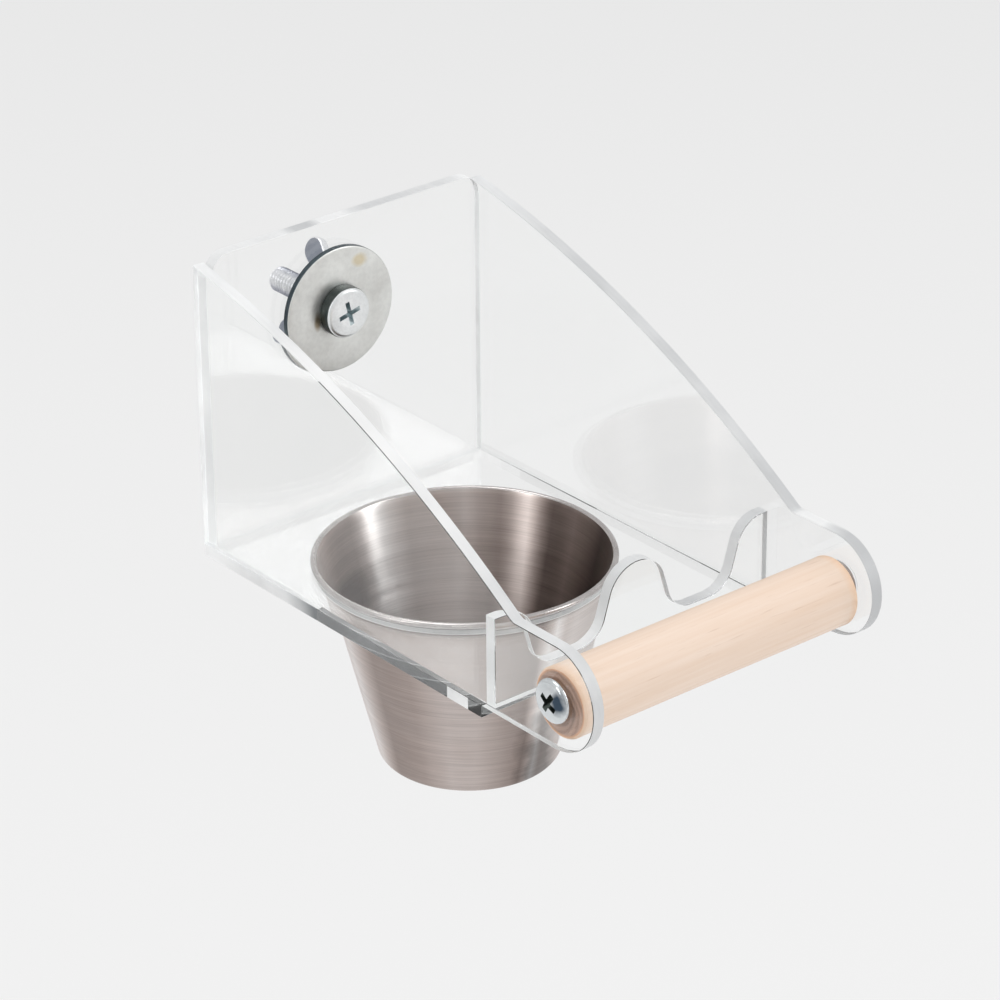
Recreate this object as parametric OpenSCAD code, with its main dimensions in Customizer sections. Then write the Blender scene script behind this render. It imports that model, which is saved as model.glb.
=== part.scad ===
// Clear seed feeder with a hanging steel cup and a wooden perch.
// One bolt with a wing nut clamps it to the wires of a cage.
// Millimetres. X runs to the right, Y back towards the cage, Z up.
// The origin is on the bolt's axis, at the rear face of the back plate.

/* [Clear housing] */
// Thickness of the clear sheet that all five panels are cut from
sheet_t = 3; // [2:0.5:5]
// Width over the two side panels
body_w = 82; // [78:1:110]
// Depth of the base plate, from the cage to its front edge
base_d = 99; // [88:1:120]
// Height of the back plate's top above the underside of the base plate
body_h = 73.5; // [68:0.5:95]
// Radius of the two top corners of the back plate
back_corner_r = 4.5; // [1:0.5:12]

/* [Side panels] */
// Height of the rear end of the curved edge above the panel's foot
panel_rear_h = 68.5; // [50:0.5:80]
// Height of the front end of the curved edge above the panel's foot
panel_front_h = 24.5; // [23:0.5:30]
// How far the curved edge reaches in front of the base plate
panel_front_reach = 9.5; // [4:0.5:14]
// Radius of the curved edge
panel_arc_r = 297; // [150:1:900]
// Length of the short slope between the curved edge and the lobe's flat top
neck_slope_l = 1; // [0.5:0.1:3]
// Radius of the round lobe that carries the perch
lobe_r = 12; // [10:0.25:12]
// Distance of the lobe's centre in front of the base plate
lobe_reach = 24; // [18:0.5:35]

/* [Front guard] */
// Height of the dome in the middle of the guard
dome_h = 21.75; // [20:0.25:26]
// Height of the guard's two ends
shoulder_h = 21.25; // [19:0.25:24]
// Height of the strip that is left under the two scoops
scoop_floor_h = 6; // [4:0.5:8]
// Width of the flat floor of a scoop
scoop_floor_w = 5.4; // [3:0.1:7]
// Distance of a scoop's middle from the middle of the guard
scoop_x = 18.5; // [18:0.5:20]
// Lean of a scoop's flanks from the vertical, in degrees
flank_lean = 17; // [10:1:22]
// Radius between a scoop's floor and its flanks
scoop_fillet_r = 6.75; // [3:0.25:7]
// Radius of the rounding at each end of the guard
shoulder_r = 7; // [2:0.25:7.5]

/* [Seed cup] */
// Diameter over the rolled rim
cup_rim_d = 68.25; // [67.5:0.25:72]
// Thickness of the rolled rim
rim_bead_d = 1.5; // [1.2:0.1:2.5]
// Diameter of the cup's wall just under the rim
cup_neck_d = 66.2; // [58:0.2:66.4]
// Diameter of the cup's base, before its edge is rounded
cup_base_d = 41.6; // [34:0.2:54]
// Height from the base to the top of the rim
cup_h = 51; // [30:1:80]
// Thickness of the cup's steel
cup_steel_t = 0.6; // [0.4:0.1:1]
// Outer radius of the edge round the base
cup_edge_r = 2.5; // [1.5:0.25:6]
// Distance of the cup's axis in front of the cage
cup_y = 44.4; // [43:0.1:48]

/* [Perch] */
// Diameter of the wooden dowel
perch_d = 16; // [12:0.5:18]
// Height of the dowel's axis above the panel's foot
perch_h = 10.2; // [9.5:0.1:12]
// Size of the chamfer round the dowel's ends
perch_chamfer = 0.5; // [0.2:0.1:1.5]

/* [Perch screws] */
// Height of the screws' axis above the panel's foot, a little over the dowel's own axis
perch_screw_h = 11.5; // [10:0.1:13]
// Diameter of the screw's head
perch_screw_head_d = 10; // [7:0.2:12]
// Height of the screw's head
perch_screw_head_h = 2.2; // [1.6:0.1:4]
// Diameter of the screw's shank
perch_screw_d = 3.6; // [2.5:0.1:5]
// Length of the screw under its head
perch_screw_l = 20; // [12:1:30]
// Length of the screw's point
perch_screw_point_l = 3; // [1:0.5:5]

/* [Mounting bolt] */
// Height of the bolt's axis above the underside of the base plate
bolt_h = 52; // [40:0.5:54]
// Distance of the housing's middle plane from the bolt's axis
bolt_offset = 4; // [0:0.5:8]
// Diameter of the bolt's shank
bolt_d = 6; // [4:0.5:8]
// Length of the bolt that stands out behind the back plate
bolt_reach = 20.3; // [16:0.1:30]
// Diameter of the bolt's head
bolt_head_d = 12; // [10:0.5:14]
// Height of the bolt's head
bolt_head_h = 3.4; // [2:0.1:5]
// Chamfer at the bolt's free end
bolt_end_chamfer = 0.6; // [0.3:0.1:1]

/* [Front washer] */
// Diameter of the washer
washer_d = 30; // [22:0.5:36]
// Thickness of the washer
washer_t = 1.6; // [1:0.1:2]

/* [Wing nut] */
// Diameter of the nut's hub at the back plate
hub_d = 12; // [11:0.5:15]
// Diameter of the hub's outer end
hub_end_d = 9.6; // [9.6:0.2:13]
// Height of the hub
hub_h = 6.2; // [5:0.2:9]
// Width over the tips of the two wings
wing_span = 25.5; // [24:0.5:36]
// Height from the hub's face to the top of the wings
wing_h = 13.6; // [11:0.2:16]
// Radius of a wing's tip
wing_tip_r = 3; // [2:0.1:4]
// Radius of a wing's root
wing_root_r = 2.2; // [1.5:0.1:2.5]
// Thickness of a wing
wing_t = 2.4; // [1.5:0.1:4]
// Angle of the wings above the horizontal, in degrees
wing_turn = 65; // [0:1:180]

/* [Fits] */
// Gap all round between the cup's wall and the base plate's hole
cup_gap = 0.3; // [0.2:0.1:1]
// Gap between the rim's underside and the base plate
rim_seat_gap = 0.1; // [0.05:0.05:0.3]
// Gap all round between the nut's bore and the bolt
thread_gap = 0.05; // [0.02:0.01:0.1]
// Gap all round between the bolt and the back plate's hole
bolt_hole_gap = 0.3; // [0.1:0.1:0.8]
// Gap all round between the bolt and the washer's hole
washer_gap = 0.2; // [0.1:0.1:0.5]
// Gap between the back plate and the washer, and between the back plate and the nut
clamp_gap = 0.1; // [0.05:0.05:0.3]
// Gap all round between a perch screw and the panel's hole
panel_hole_gap = 0.3; // [0.1:0.1:0.6]
// Gap all round between a perch screw and the dowel's pilot hole
pilot_gap = 0.05; // [0.02:0.01:0.1]

/* [Hidden] */

clear = [0.80, 0.88, 0.91, 0.4];
steel = [0.62, 0.60, 0.58];
wood = [0.93, 0.82, 0.69];
zinc = [0.72, 0.74, 0.74];
chrome = [0.82, 0.83, 0.85];

// Facets of a small round, of a large one and of the long curved edge
round_steps = 64;
hole_steps = 128;
arc_steps = 720;
// Straight steps in each round of the guard's edge
curve_steps = 16;
// Extra length of every cut, past the faces that it goes through
overrun = 1;

// Panels between the side panels share this width
inner_w = body_w - 2 * sheet_t;
panel_foot_z = sheet_t - bolt_h;
perch_y = -(base_d + lobe_reach);
perch_z = panel_foot_z + perch_h;
perch_screw_z = panel_foot_z + perch_screw_h;
neck_h = 2 * lobe_r;

// Places the housing's middle plane beside the bolt's axis
module on_middle_plane() {
    translate([bolt_offset, 0, 0]) children();
}

// Turns an outline of depth and height into a sheet that faces sideways
module side_sheet(x) {
    translate([x + sheet_t, 0, panel_foot_z])
        rotate([90, 0, -90])
            linear_extrude(height = sheet_t) children();
}

// Turns an outline of width and height into a sheet that faces forward
module front_sheet(y) {
    translate([0, y, panel_foot_z])
        rotate([90, 0, 0])
            linear_extrude(height = sheet_t) children();
}

// Base plate
cup_hole_r = cup_neck_d / 2 + cup_gap;

module base_plate() {
    color(clear)
    on_middle_plane()
    difference() {
        translate([-body_w / 2, -base_d, -bolt_h])
            cube([body_w, base_d, sheet_t]);
        translate([0, -cup_y, -bolt_h - overrun])
            cylinder(h = sheet_t + 2 * overrun, r = cup_hole_r, $fn = hole_steps);
    }
}

// Side panels. Their outline runs forward from the cage and up from the foot.
curve_start = [0, panel_rear_h];
curve_end = [base_d + panel_front_reach, panel_front_h];
lobe_centre = [base_d + lobe_reach, lobe_r];

// Centre of the arc with radius r that bulges above the line from p to q
function arc_centre(p, q, r) =
    let (chord = norm(q - p), along = (q - p) / chord)
    (p + q) / 2 - [-along[1], along[0]] * sqrt(r * r - chord * chord / 4);

module under_curve() {
    intersection() {
        translate(arc_centre(curve_start, curve_end, panel_arc_r))
            circle(r = panel_arc_r, $fn = arc_steps);
        square([curve_end[0], 2 * max(panel_rear_h, panel_front_h)]);
    }
}

module neck() {
    polygon([[curve_end[0] - overrun, 0],
             [lobe_centre[0], 0],
             [lobe_centre[0], neck_h],
             [curve_end[0] + neck_slope_l, neck_h],
             [curve_end[0], panel_front_h],
             [curve_end[0] - overrun, panel_front_h]]);
}

module side_panel_outline() {
    difference() {
        union() {
            under_curve();
            neck();
            translate(lobe_centre) circle(r = lobe_r, $fn = hole_steps);
        }
        translate([lobe_centre[0], perch_screw_h])
            circle(r = perch_screw_d / 2 + panel_hole_gap, $fn = round_steps);
    }
}

module left_side_panel() {
    color(clear)
    on_middle_plane()
    side_sheet(-body_w / 2) side_panel_outline();
}

module right_side_panel() {
    color(clear)
    on_middle_plane()
    side_sheet(body_w / 2 - sheet_t) side_panel_outline();
}

// Back plate
module back_plate_outline() {
    back_h = body_h - sheet_t;
    corner_x = inner_w / 2 - back_corner_r;
    translate([-inner_w / 2, 0]) square([inner_w, back_h - back_corner_r]);
    translate([-corner_x, 0]) square([2 * corner_x, back_h]);
    for (x = [-corner_x, corner_x])
        translate([x, back_h - back_corner_r]) circle(r = back_corner_r, $fn = round_steps);
}

module back_plate() {
    color(clear)
    difference() {
        on_middle_plane() front_sheet(0) back_plate_outline();
        rotate([90, 0, 0])
            translate([0, 0, -overrun])
                cylinder(h = sheet_t + 2 * overrun, r = bolt_d / 2 + bolt_hole_gap, $fn = round_steps);
    }
}

// Front guard. Its dome and its two ends have the same edge: a fillet, a leaning flank, a round top.
// The first three points count their width from the middle of a scoop.
flank_foot = [scoop_floor_w / 2 + scoop_fillet_r * cos(flank_lean),
              scoop_floor_h + scoop_fillet_r * (1 - sin(flank_lean))];
shoulder_centre = [flank_foot[0] + (shoulder_r + (shoulder_h - shoulder_r - flank_foot[1]) * sin(flank_lean))
                   / cos(flank_lean),
                   shoulder_h - shoulder_r];
fillet_centre = [scoop_floor_w / 2, scoop_floor_h + scoop_fillet_r];
// The dome is the circle that touches both inner flanks and reaches the dome's height
dome_r = ((scoop_x - flank_foot[0]) * cos(flank_lean) - (dome_h - flank_foot[1]) * sin(flank_lean))
         / (1 - sin(flank_lean));

function arc_points(centre, r, from, to) =
    [for (i = [0 : curve_steps]) let (a = from + (to - from) * i / curve_steps)
        centre + r * [cos(a), sin(a)]];

// Right half of the guard's edge, from the dome's top to below the guard's end
guard_edge = concat(
    arc_points([0, dome_h - dome_r], dome_r, 90, flank_lean),
    arc_points([scoop_x - fillet_centre[0], fillet_centre[1]], scoop_fillet_r, 180 + flank_lean, 270),
    arc_points([scoop_x + fillet_centre[0], fillet_centre[1]], scoop_fillet_r, 270, 360 - flank_lean),
    arc_points([scoop_x + shoulder_centre[0], shoulder_centre[1]], shoulder_r, 180 - flank_lean, 90),
    [[inner_w, shoulder_h], [inner_w, 0]]);

module guard_outline() {
    last = len(guard_edge) - 1;
    intersection() {
        polygon(concat(guard_edge, [for (i = [last : -1 : 1]) [-guard_edge[i][0], guard_edge[i][1]]]));
        translate([-inner_w / 2, -overrun]) square([inner_w, dome_h + shoulder_h]);
    }
}

module front_guard() {
    color(clear)
    on_middle_plane()
    front_sheet(-base_d) guard_outline();
}

// Perch
module perch() {
    pilot_depth = perch_screw_l - sheet_t + overrun;
    color(wood)
    on_middle_plane()
    translate([0, perch_y, perch_z])
    rotate([0, 90, 0])
    difference() {
        translate([0, 0, -inner_w / 2])
        rotate_extrude($fn = hole_steps)
            polygon([[0, 0],
                     [perch_d / 2 - perch_chamfer, 0],
                     [perch_d / 2, perch_chamfer],
                     [perch_d / 2, inner_w - perch_chamfer],
                     [perch_d / 2 - perch_chamfer, inner_w],
                     [0, inner_w]]);
        for (side = [-1, 1])
            translate([perch_z - perch_screw_z, 0,
                       side * (inner_w + overrun) / 2 - side * (pilot_depth - overrun / 2) / 2])
                cylinder(h = pilot_depth + overrun / 2, r = perch_screw_d / 2 + pilot_gap,
                         center = true, $fn = round_steps);
    }
}

// Screws. A pan head stands on z = 0 and the shank hangs below it.
screw_head_edge_share = 0.6;
bolt_head_edge_share = 0.3;

module pan_head(d, h, edge) {
    rotate_extrude($fn = hole_steps) {
        square([d / 2, h - edge]);
        square([d / 2 - edge, h]);
        translate([d / 2 - edge, h - edge])
            intersection() {
                circle(r = edge, $fn = round_steps);
                square(edge);
            }
    }
}

module perch_screw() {
    pan_head(perch_screw_head_d, perch_screw_head_h, screw_head_edge_share * perch_screw_head_h);
    translate([0, 0, -perch_screw_l])
    rotate_extrude($fn = round_steps)
        polygon([[0, 0],
                 [perch_screw_d / 2, perch_screw_point_l],
                 [perch_screw_d / 2, perch_screw_l],
                 [0, perch_screw_l]]);
}

module left_perch_screw() {
    color(chrome)
    on_middle_plane()
    translate([-body_w / 2, perch_y, perch_screw_z]) rotate([0, -90, 0]) perch_screw();
}

module right_perch_screw() {
    color(chrome)
    on_middle_plane()
    translate([body_w / 2, perch_y, perch_screw_z]) rotate([0, 90, 0]) perch_screw();
}

// Seed cup. Its section stands on z = 0, with the axis at x = 0.
rim_z = panel_foot_z + rim_seat_gap;
neck_z = cup_h - rim_bead_d;
wall_lean = atan((cup_neck_d - cup_base_d) / 2 / neck_z);
edge_centre = [cup_base_d / 2 - cup_edge_r / tan((90 + wall_lean) / 2), cup_edge_r];
bead_centre = [(cup_rim_d - rim_bead_d) / 2, neck_z + rim_bead_d / 2];

// Solid of revolution inside a skin that lies inset behind the cup's outer face
module cup_section_fill(inset, top_z) {
    r = cup_edge_r - inset;
    touch = edge_centre + r * [cos(wall_lean), -sin(wall_lean)];
    polygon([[0, inset],
             [edge_centre[0], inset],
             touch,
             [touch[0] + (top_z - touch[1]) * tan(wall_lean), top_z],
             [0, top_z]]);
    translate(edge_centre) circle(r = r, $fn = round_steps);
}

module cup_lip_section() {
    wall_w = cup_steel_t / cos(wall_lean);
    lip_lean = 45;
    translate(bead_centre) circle(r = rim_bead_d / 2, $fn = round_steps);
    polygon([[cup_neck_d / 2 - wall_w, neck_z],
             [bead_centre[0], neck_z],
             bead_centre,
             bead_centre + rim_bead_d / 2 * [-sin(lip_lean), cos(lip_lean)]]);
}

module seed_cup() {
    color(steel)
    on_middle_plane()
    translate([0, -cup_y, rim_z - neck_z])
    rotate_extrude($fn = hole_steps) {
        difference() {
            cup_section_fill(0, neck_z);
            cup_section_fill(cup_steel_t, neck_z + overrun);
        }
        cup_lip_section();
    }
}

// Mounting bolt, front washer and wing nut, all on the axis through the origin
washer_front_y = -(sheet_t + clamp_gap + washer_t);

module mounting_bolt() {
    shank_l = bolt_reach - washer_front_y;
    color(zinc)
    translate([0, washer_front_y, 0])
    rotate([90, 0, 0]) {
        pan_head(bolt_head_d, bolt_head_h, bolt_head_edge_share * bolt_head_h);
        translate([0, 0, -shank_l])
        rotate_extrude($fn = round_steps)
            polygon([[0, 0],
                     [bolt_d / 2 - bolt_end_chamfer, 0],
                     [bolt_d / 2, bolt_end_chamfer],
                     [bolt_d / 2, shank_l],
                     [0, shank_l]]);
    }
}

module front_washer() {
    color(zinc)
    translate([0, washer_front_y, 0])
    rotate([-90, 0, 0])
    difference() {
        cylinder(h = washer_t, r = washer_d / 2, $fn = hole_steps);
        translate([0, 0, -overrun])
            cylinder(h = washer_t + 2 * overrun, r = bolt_d / 2 + washer_gap, $fn = round_steps);
    }
}

// Outline round two circles and the straight lines that touch both
module tapered_slot(p, r_p, q, r_q) {
    reach = norm(q - p);
    along = atan2(q[1] - p[1], q[0] - p[0]);
    fan = acos((r_p - r_q) / reach);
    translate(p) circle(r = r_p, $fn = round_steps);
    translate(q) circle(r = r_q, $fn = round_steps);
    polygon([p + r_p * [cos(along + fan), sin(along + fan)],
             q + r_q * [cos(along + fan), sin(along + fan)],
             q + r_q * [cos(along - fan), sin(along - fan)],
             p + r_p * [cos(along - fan), sin(along - fan)]]);
}

module wing() {
    rotate([90, 0, 0])
        translate([0, 0, -wing_t / 2])
            linear_extrude(height = wing_t)
                tapered_slot([hub_d / 2 - wing_root_r, wing_root_r], wing_root_r,
                             [wing_span / 2 - wing_tip_r, wing_h - wing_tip_r], wing_tip_r);
}

module wing_nut() {
    color(zinc)
    translate([0, clamp_gap, 0])
    rotate([0, -wing_turn, 0])
    rotate([-90, 0, 0])
    difference() {
        union() {
            cylinder(h = hub_h, r1 = hub_d / 2, r2 = hub_end_d / 2, $fn = hole_steps);
            wing();
            mirror([1, 0, 0]) wing();
        }
        translate([0, 0, -overrun])
            cylinder(h = wing_h + 2 * overrun, r = bolt_d / 2 + thread_gap, $fn = round_steps);
    }
}

base_plate();
left_side_panel();
right_side_panel();
back_plate();
front_guard();
perch();
left_perch_screw();
right_perch_screw();
seed_cup();
mounting_bolt();
front_washer();
wing_nut();
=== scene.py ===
import bpy
import bmesh
import math
from mathutils import Matrix, Vector, noise


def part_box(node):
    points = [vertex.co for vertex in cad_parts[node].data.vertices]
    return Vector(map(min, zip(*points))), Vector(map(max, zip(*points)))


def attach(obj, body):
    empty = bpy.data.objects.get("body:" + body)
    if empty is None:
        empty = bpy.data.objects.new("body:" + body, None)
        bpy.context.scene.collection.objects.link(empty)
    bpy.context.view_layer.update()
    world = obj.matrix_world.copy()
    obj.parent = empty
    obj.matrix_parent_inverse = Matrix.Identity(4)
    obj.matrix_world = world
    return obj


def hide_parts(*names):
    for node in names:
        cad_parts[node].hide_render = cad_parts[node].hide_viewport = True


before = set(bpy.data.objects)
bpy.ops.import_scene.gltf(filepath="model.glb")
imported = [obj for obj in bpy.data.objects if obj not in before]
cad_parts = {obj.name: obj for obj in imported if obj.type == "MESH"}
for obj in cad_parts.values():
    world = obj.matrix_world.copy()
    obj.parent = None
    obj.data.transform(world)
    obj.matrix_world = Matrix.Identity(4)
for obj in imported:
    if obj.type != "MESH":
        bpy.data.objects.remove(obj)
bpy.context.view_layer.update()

scene = bpy.context.scene
scene.view_settings.view_transform = "Standard"
mm = 0.001


# Camera: the photograph's angle, measured from the housing's straight edges

camera = {
    "azimuth": -39.521,
    "elevation": 26.434,
    "roll": -0.438,
    "focalPixels": 4133.6,
    "photoPixels": 1000,
    "sensor": 36,            # mm
    "aim": (4.0 * mm, -64.8 * mm, -19.6 * mm),
    "slide": (-5.564 * mm, -6.463 * mm),
    "distance": 904.9 * mm,
}


def addObject(name, data):
    made = bpy.data.objects.new(name, data)
    scene.collection.objects.link(made)
    return made


def makeCamera(c):
    a, e, roll = (math.radians(c[k]) for k in ("azimuth", "elevation", "roll"))
    right = Vector((math.cos(a), math.sin(a), 0))
    back = Vector((math.sin(a) * math.cos(e), -math.cos(a) * math.cos(e), math.sin(e)))
    up = back.cross(right)
    rolledRight = right * math.cos(roll) + up * math.sin(roll)
    rolledUp = up * math.cos(roll) - right * math.sin(roll)
    place = Vector(c["aim"]) + rolledRight * c["slide"][0] + rolledUp * c["slide"][1] + back * c["distance"]
    data = bpy.data.cameras.new("photoCamera")
    data.sensor_width = c["sensor"]
    data.lens = c["focalPixels"] / c["photoPixels"] * c["sensor"]
    data.clip_start, data.clip_end = 0.01, 100
    cam = addObject("photoCamera", data)
    cam.matrix_world = Matrix.Translation(place) @ Matrix((rolledRight, rolledUp, back)).transposed().to_4x4()
    scene.camera = cam


makeCamera(camera)
print("camera placed")


# Small tools for meshes

def addPiece(name, mesh, body, replaced):
    piece = addObject(name, mesh)
    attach(piece, body)
    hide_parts(replaced)


def asMesh(bm, name, *materials):
    mesh = bpy.data.meshes.new(name)
    bm.to_mesh(mesh)
    bm.free()
    for material in materials:
        mesh.materials.append(material)
    return mesh


def shapeOf(holder):
    # The mesh that the object's curve or modifiers make, in place of the object
    bpy.context.view_layer.update()
    made = bpy.data.meshes.new_from_object(holder.evaluated_get(bpy.context.evaluated_depsgraph_get()))
    bpy.data.objects.remove(holder)
    return made


def smoothMesh(bm, sharpAngle):
    limit = math.radians(sharpAngle)
    for face in bm.faces:
        face.smooth = True
    for edge in bm.edges:
        edge.smooth = len(edge.link_faces) == 2 and edge.calc_face_angle(0) < limit


def finishMesh(bm, name, sharpAngle, *materials):
    bmesh.ops.remove_doubles(bm, verts=bm.verts, dist=1e-7)
    bmesh.ops.recalc_face_normals(bm, faces=bm.faces)
    smoothMesh(bm, sharpAngle)
    return asMesh(bm, name, *materials)


def arc(cx, cy, r, start, end, steps):
    return [(cx + r * math.cos(math.radians(start + (end - start) * i / steps)),
             cy + r * math.sin(math.radians(start + (end - start) * i / steps))) for i in range(steps + 1)]


def ringStack(rows, steps):
    # Each row is (radius, height), or (function of the angle, height), from one end of the axis to the other
    bm = bmesh.new()
    rings = []
    for r, z in rows:
        if not callable(r) and r < 1e-9:
            rings.append([bm.verts.new((0, 0, z))])
            continue
        ring = []
        for i in range(steps):
            t = 2 * math.pi * i / steps
            radius = r(t) if callable(r) else r
            ring.append(bm.verts.new((radius * math.cos(t), radius * math.sin(t), z)))
        rings.append(ring)
    pairs = list(zip(rings, rings[1:]))
    if len(rings[0]) > 1:
        pairs.append((rings[-1], rings[0]))
    for lower, upper in pairs:
        for i in range(steps):
            j = (i + 1) % steps
            corners = []
            for ring, k in ((lower, i), (lower, j), (upper, j), (upper, i)):
                if ring[k % len(ring)] not in corners:
                    corners.append(ring[k % len(ring)])
            if len(corners) > 2:
                bm.faces.new(corners)
    bmesh.ops.recalc_face_normals(bm, faces=bm.faces)
    return bm


def threadRows(shank):
    # Rows of a screw thread that runs down from zero, fading in at both ends
    length, crest, root, pitch = (shank[k] for k in ("length", "crest", "root", "pitch"))
    flank, rootFlat = 2.6, 0.15      # rise of a tooth over half a turn, and how much of it stays in the root
    pointR = 0.04                    # radius of the point, as a share of the row's own
    rowsPerTurn = 14
    rows = []
    count = round(length / pitch * rowsPerTurn)
    for k in range(count + 1):
        down = length * k / count
        left = length - down

        def radius(t, down=down, left=left):
            phase = (down / pitch + t / (2 * math.pi)) % 1
            tooth = min(1, max(0, (0.5 - abs(phase - 0.5)) * flank - rootFlat))
            tooth *= min(1, down / pitch) * min(1, left / pitch + rootFlat)
            r = root + (crest - root) * tooth
            if shank["point"]:
                return r * min(1, pointR + left / shank["point"])
            return min(r, crest - shank["chamfer"] + left)

        rows.append((radius, -down))
    return rows


def skin(bm, rows):
    # Closes a solid over rings that have equally many vertices
    bm.faces.new(rows[0])
    bm.faces.new(rows[-1][::-1])
    for a, b in zip(rows, rows[1:]):
        count = len(a)
        for i in range(count):
            bm.faces.new((a[i], a[(i + 1) % count], b[(i + 1) % count], b[i]))


def crossCutter(reach, depth, width, turn, material):
    # A tapered cross, to cut the driver's recess: each level is (height, half length, half width)
    levels = ((1.0 * mm, reach * 1.25, width * 0.58), (-depth * 0.72, reach * 0.5, width * 0.42),
              (-depth, reach * 0.2, width * 0.3))
    bm = bmesh.new()
    for quarter in range(2):
        a = math.radians(turn + 90 * quarter)
        along, across = Vector((math.cos(a), math.sin(a), 0)), Vector((-math.sin(a), math.cos(a), 0))
        skin(bm, [[bm.verts.new(along * half * s + across * thick * w + Vector((0, 0, z)))
                   for s, w in ((1, 1), (-1, 1), (-1, -1), (1, -1))] for z, half, thick in levels])
    bmesh.ops.recalc_face_normals(bm, faces=bm.faces)
    return asMesh(bm, "crossCutter", material)


def cutAway(mesh, cutters, name, sharpAngle):
    # Cuts each (mesh, matrix) out of the mesh, and keeps the cutter's material on the cut
    holder = addObject("cutHolder", mesh)
    helpers = []
    for cutterMesh, place in cutters:
        cutter = addObject("cutter", cutterMesh)
        cutter.matrix_world = place
        cut = holder.modifiers.new("cut", "BOOLEAN")
        cut.operation, cut.solver, cut.object = "DIFFERENCE", "EXACT", cutter
        cut.use_self = True
        cut.material_mode = "TRANSFER"
        helpers.append(cutter)
    made = shapeOf(holder)
    for helper in helpers:
        bpy.data.objects.remove(helper)
    bm = bmesh.new()
    bm.from_mesh(made)
    smoothMesh(bm, sharpAngle)
    bm.to_mesh(made)
    bm.free()
    made.name = name
    return made


def standing(x, y, z):
    # Stands what was made flat up with its upper side to the front, and puts it in place
    return Matrix.Translation((x, y, z)) @ Matrix.Rotation(math.pi / 2, 4, "X")


# Small tools for nodes

def give(tree, node, values):
    # Links each input to another node's output, or sets its value
    for key, value in values.items():
        socket = node.inputs[key]
        if hasattr(value, "is_output"):
            tree.links.new(value, socket)
        else:
            socket.default_value = (*value, 1) if socket.type == "RGBA" else value


def mathNode(tree, operation, *values):
    node = tree.nodes.new("ShaderNodeMath")
    node.operation = operation
    give(tree, node, dict(enumerate(values)))
    return node.outputs[0]


def noiseNode(tree, vector, scale, detail):
    node = tree.nodes.new("ShaderNodeTexNoise")
    give(tree, node, {"Vector": vector, "Scale": scale, "Detail": detail})
    return node.outputs["Fac"]


def axesOf(tree, vector):
    node = tree.nodes.new("ShaderNodeSeparateXYZ")
    tree.links.new(vector, node.inputs[0])
    return node.outputs


def lengthOf(tree, vector):
    node = tree.nodes.new("ShaderNodeVectorMath")
    node.operation = "LENGTH"
    tree.links.new(vector, node.inputs[0])
    return node.outputs["Value"]


# Shader groups that several materials share

def newGroup(name, inputs, outputs):
    group = bpy.data.node_groups.new(name, "ShaderNodeTree")
    for way, labels in (("INPUT", inputs), ("OUTPUT", outputs)):
        for label in labels:
            kind = "NodeSocketVector" if label == "Vector" else "NodeSocketFloat"
            group.interface.new_socket(name=label, in_out=way, socket_type=kind)
    return group, group.nodes.new("NodeGroupInput"), group.nodes.new("NodeGroupOutput")


def makeMottleGroup():
    # Soft patches, such as zinc bloom, handling marks or tarnish: Mask is 0 to 1
    group, given, out = newGroup("mottle", ("Vector", "Scale", "Detail", "Sharpness"), ("Mask",))
    vector, scale, detail, sharpness = given.outputs[:4]
    width = mathNode(group, "MULTIPLY_ADD", sharpness, -1.0, 1.0)
    centred = mathNode(group, "SUBTRACT", noiseNode(group, vector, scale, detail), 0.5)
    spread = mathNode(group, "DIVIDE", centred, mathNode(group, "MAXIMUM", width, 0.05))
    mask = mathNode(group, "ADD", spread, 0.5)
    mask.node.use_clamp = True
    group.links.new(mask, out.inputs["Mask"])
    return group


def makeTurnedGroup():
    # Fine rings round an axis: Vector has the axis as Z and its middle at the origin
    group, given, out = newGroup("turnedLines", ("Vector", "Fineness"), ("Lines", "Bands", "Turn"))
    x, y, z = axesOf(group, given.outputs["Vector"])
    radius = mathNode(group, "SQRT", mathNode(group, "ADD", mathNode(group, "MULTIPLY", x, x),
                                              mathNode(group, "MULTIPLY", y, y)))
    angle = mathNode(group, "ARCTAN2", y, x)
    turn = mathNode(group, "FRACT", mathNode(group, "MULTIPLY", angle, 1 / (2 * math.pi)))
    drift = 0.0006      # how far the pattern moves on over the turn, so that no ring is perfect
    place = group.nodes.new("ShaderNodeCombineXYZ")
    drifted = mathNode(group, "MULTIPLY", mathNode(group, "SINE", angle), drift)
    give(group, place, {0: radius, 1: z, 2: drifted})
    for label, factor, detail in (("Lines", 1.0, 5.0), ("Bands", 0.12, 2.0)):
        scale = mathNode(group, "MULTIPLY", given.outputs["Fineness"], factor)
        group.links.new(noiseNode(group, place.outputs[0], scale, detail), out.inputs[label])
    group.links.new(turn, out.inputs["Turn"])
    return group


mottle = makeMottleGroup()
turnedLines = makeTurnedGroup()


# Materials

def newMaterial(name):
    material = bpy.data.materials.new(name)
    material.use_nodes = True
    tree = material.node_tree
    return material, tree, tree.nodes["Principled BSDF"]


def placed(tree, middle=(0, 0, 0), turn=(0, 0, 0), scale=(1, 1, 1)):
    # Object coordinates about a point of the object
    coordinates = tree.nodes.new("ShaderNodeTexCoord")
    shift = tree.nodes.new("ShaderNodeVectorMath")
    shift.operation = "SUBTRACT"
    give(tree, shift, {0: coordinates.outputs["Object"], 1: middle})
    mapping = tree.nodes.new("ShaderNodeMapping")
    give(tree, mapping, {"Vector": shift.outputs[0], "Rotation": turn, "Scale": scale})
    return mapping.outputs[0]


def useGroup(tree, group, vector, **values):
    node = tree.nodes.new("ShaderNodeGroup")
    node.node_tree = group
    give(tree, node, {"Vector": vector, **values})
    return node


def mottling(tree, vector, scale, detail, sharpness):
    return useGroup(tree, mottle, vector, Scale=scale, Detail=detail, Sharpness=sharpness).outputs["Mask"]


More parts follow.
